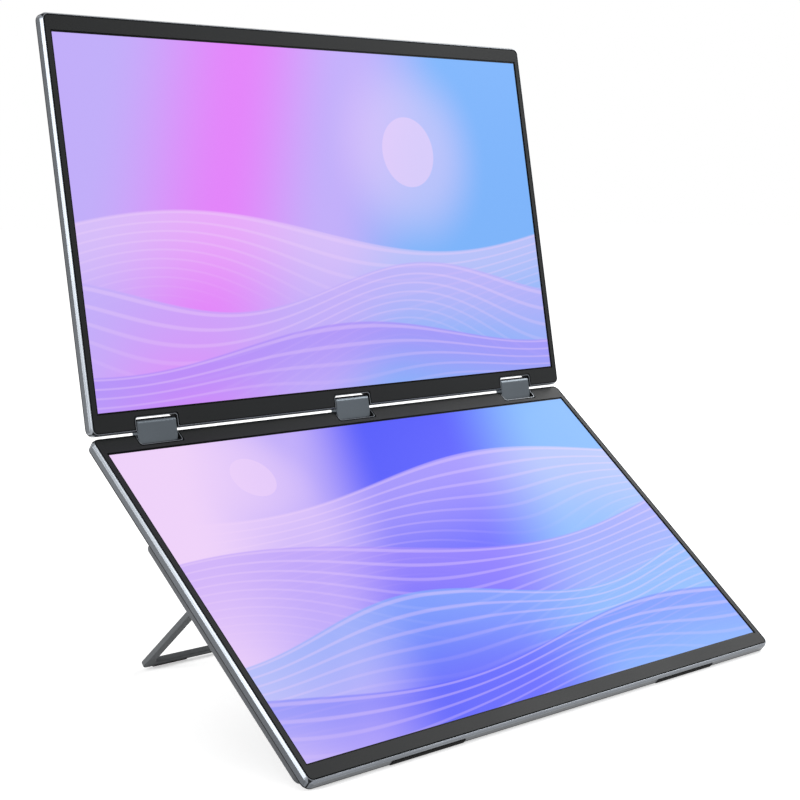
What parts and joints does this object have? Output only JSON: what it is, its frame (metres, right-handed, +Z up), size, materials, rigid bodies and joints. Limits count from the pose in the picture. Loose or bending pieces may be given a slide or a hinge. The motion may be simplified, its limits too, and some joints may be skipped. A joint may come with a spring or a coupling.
{
  "type": "folding stacked monitor",
  "caption": "Free-standing folding monitor: equal screens stacked edge to edge on friction hinges, with a swing-out kickstand, side sockets and push buttons.",
  "frame": {"origin": "on the table, under the middle of the whole monitor as it stands", "axes": "+X along the hinges to the viewer's right, +Y away from the viewer, +Z up"},
  "size_m": [0.4224, 0.27, 0.424],
  "materials": {
    "frame_metal": "satin grey anodised",
    "back_metal": "satin grey anodised",
    "hinge_metal": "satin blue-grey",
    "bezel_black": "soft black",
    "display_glass": "lit display",
    "backlight_film": "white film stack",
    "circuit_board": "green board",
    "bush_brass": "plain",
    "socket_steel": "plated",
    "housing_plastic": "fine texture",
    "stand_metal": "satin grey",
    "foot_rubber": "matt",
    "button_plastic": "satin grey",
    "switch_plastic": "black",
    "steel": "plain"
  },
  "bodies": {
    "lower_screen": {"button_switches": "switch_plastic", "data_socket_1": "socket_steel", "data_socket_2": "socket_steel", "front_foot_left": "foot_rubber", "front_foot_right": "foot_rubber", "housing_screws": "steel", "kickstand_pin_left": "steel", "kickstand_pin_right": "steel", "lower_backlight": "backlight_film", "lower_bezel": "bezel_black", "lower_driver_board": "circuit_board", "lower_frame": "frame_metal", "lower_hinge_bracket_left": "steel", "lower_hinge_bracket_middle": "steel", "lower_hinge_bracket_right": "steel", "lower_hinge_screws": "steel", "lower_hinge_shaft_left": "steel", "lower_hinge_shaft_middle": "steel", "lower_hinge_shaft_right": "steel", "lower_lcd_cell": "display_glass", "lower_rear_cover": "back_metal", "main_board": "circuit_board", "rear_housing": "housing_plastic", "video_socket": "socket_steel"},
    "hinge_links": {"friction_bushes_left": "bush_brass", "friction_bushes_middle": "bush_brass", "friction_bushes_right": "bush_brass", "hinge_cover_front_left": "hinge_metal", "hinge_cover_front_middle": "hinge_metal", "hinge_cover_front_right": "hinge_metal", "hinge_cover_rear_left": "hinge_metal", "hinge_cover_rear_middle": "hinge_metal", "hinge_cover_rear_right": "hinge_metal", "hinge_link_plates_left": "steel", "hinge_link_plates_middle": "steel", "hinge_link_plates_right": "steel"},
    "upper_screen": {"upper_backlight": "backlight_film", "upper_bezel": "bezel_black", "upper_driver_board": "circuit_board", "upper_frame": "frame_metal", "upper_hinge_bracket_left": "steel", "upper_hinge_bracket_middle": "steel", "upper_hinge_bracket_right": "steel", "upper_hinge_screws": "steel", "upper_hinge_shaft_left": "steel", "upper_hinge_shaft_middle": "steel", "upper_hinge_shaft_right": "steel", "upper_lcd_cell": "display_glass", "upper_rear_cover": "back_metal"},
    "kickstand": {"kickstand": "stand_metal", "kickstand_pad_left": "foot_rubber", "kickstand_pad_right": "foot_rubber"},
    "power_button": {"power_button": "button_plastic"},
    "menu_button": {"menu_button": "button_plastic"}
  },
  "joints": [
    {"name": "lower_hinge", "type": "hinge", "parent": "lower_screen", "child": "hinge_links", "pos_m": [0, 0.05952, 0.16606], "axis": [1, 0, 0], "range_deg": [-40.1, 49.9]},
    {"name": "upper_hinge", "type": "hinge", "parent": "hinge_links", "child": "upper_screen", "pos_m": [0, 0.06095, 0.17444], "axis": [1, 0, 0], "range_deg": [0, 90]},
    {"name": "kickstand_pivot", "type": "hinge", "parent": "lower_screen", "child": "kickstand", "pos_m": [0, 0.00452, 0.11092], "axis": [1, 0, 0], "range_deg": [-99.6, 0]},
    {"name": "power_press", "type": "slide", "parent": "lower_screen", "child": "power_button", "axis": [-1, 0, 0], "range_m": [0, 0.0004], "stiffness_N_per_m": 2500},
    {"name": "menu_press", "type": "slide", "parent": "lower_screen", "child": "menu_button", "axis": [-1, 0, 0], "range_m": [0, 0.0004], "stiffness_N_per_m": 2500}
  ]
}
